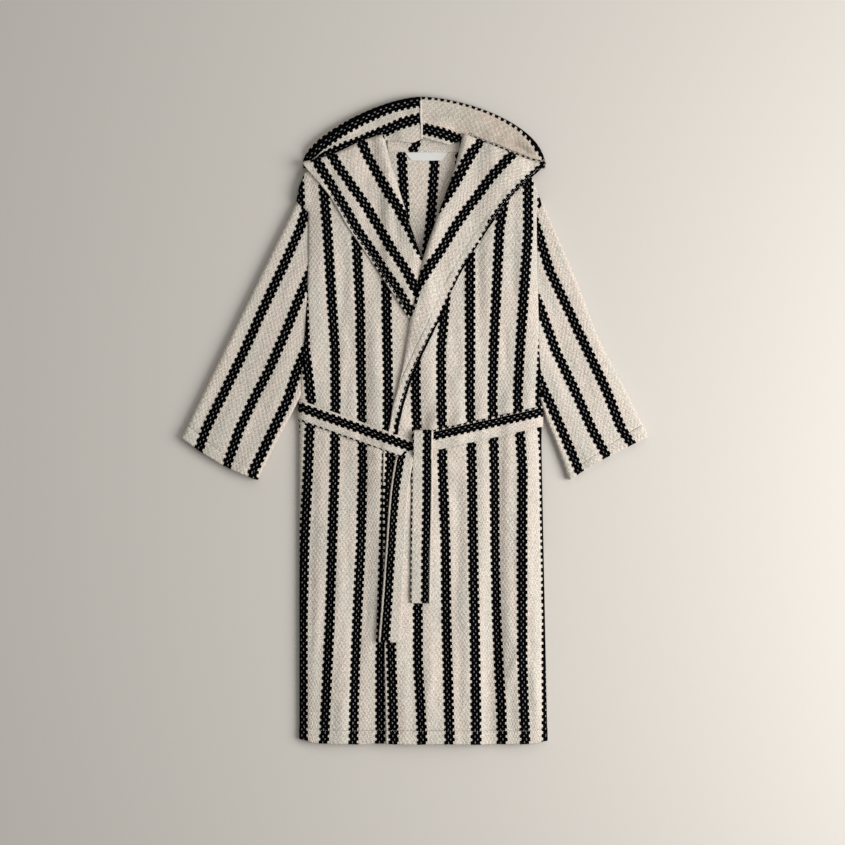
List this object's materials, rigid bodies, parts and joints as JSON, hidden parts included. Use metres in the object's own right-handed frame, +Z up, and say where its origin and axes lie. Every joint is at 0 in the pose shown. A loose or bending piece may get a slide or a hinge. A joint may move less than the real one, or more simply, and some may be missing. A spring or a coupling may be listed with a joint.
{
  "type": "bathrobe",
  "caption": "Hooded wrap bathrobe in striped waffle terry, laid flat with its belt tied, with folding sleeves, hood and belt ends.",
  "frame": {"origin": "middle of the box's base, on the surface that the robe lies on", "axes": "+Z up out of that surface, +Y from hem to hood, -X the wearer's right-hand side"},
  "size_m": [0.979, 1.357, 0.0418],
  "materials": {
    "striped_terry": "matte terry, ecru with black woven stripes",
    "belt_terry": "matte terry, half black and half ecru",
    "label_satin": "satin ribbon, blank"
  },
  "bodies": {
    "robe": {"back_panel": "striped_terry", "right_front_panel": "striped_terry", "left_front_panel": "striped_terry", "right_lapel": "striped_terry", "left_lapel": "striped_terry", "neck_label": "label_satin", "belt_back_run": "belt_terry", "belt_right_run": "belt_terry", "belt_left_run": "belt_terry", "belt_knot": "belt_terry", "right_belt_loop": "striped_terry", "left_belt_loop": "striped_terry"},
    "hood": {"hood_right_half": "striped_terry", "hood_left_half": "striped_terry", "neck_facing": "striped_terry"},
    "right_arm": {"right_sleeve": "striped_terry"},
    "left_arm": {"left_sleeve": "striped_terry"},
    "tail_over": {"belt_tail_over": "belt_terry"},
    "tail_under": {"belt_tail_under": "belt_terry"}
  },
  "joints": [
    {"name": "right_sleeve_fold", "type": "hinge", "parent": "robe", "child": "right_arm", "pos_m": [-0.2415, 0.052, 0.0273], "axis": [0.0545, 0.9985, 0], "range_deg": [0, 150]},
    {"name": "left_sleeve_fold", "type": "hinge", "parent": "robe", "child": "left_arm", "pos_m": [0.2645, 0.046, 0.0273], "axis": [0.0165, -0.9999, 0], "range_deg": [0, 150]},
    {"name": "hood_fold", "type": "hinge", "parent": "robe", "child": "hood", "pos_m": [0.012, 0.5355, 0.0273], "axis": [1, 0, 0], "range_deg": [0, 150]},
    {"name": "tail_over_lift", "type": "hinge", "parent": "robe", "child": "tail_over", "pos_m": [0.017, -0.0822, 0.0423], "axis": [-1, 0, 0], "range_deg": [0, 150]},
    {"name": "tail_under_lift", "type": "hinge", "parent": "robe", "child": "tail_under", "pos_m": [-0.022, -0.0822, 0.0423], "axis": [-1, 0, 0], "range_deg": [0, 150]}
  ]
}
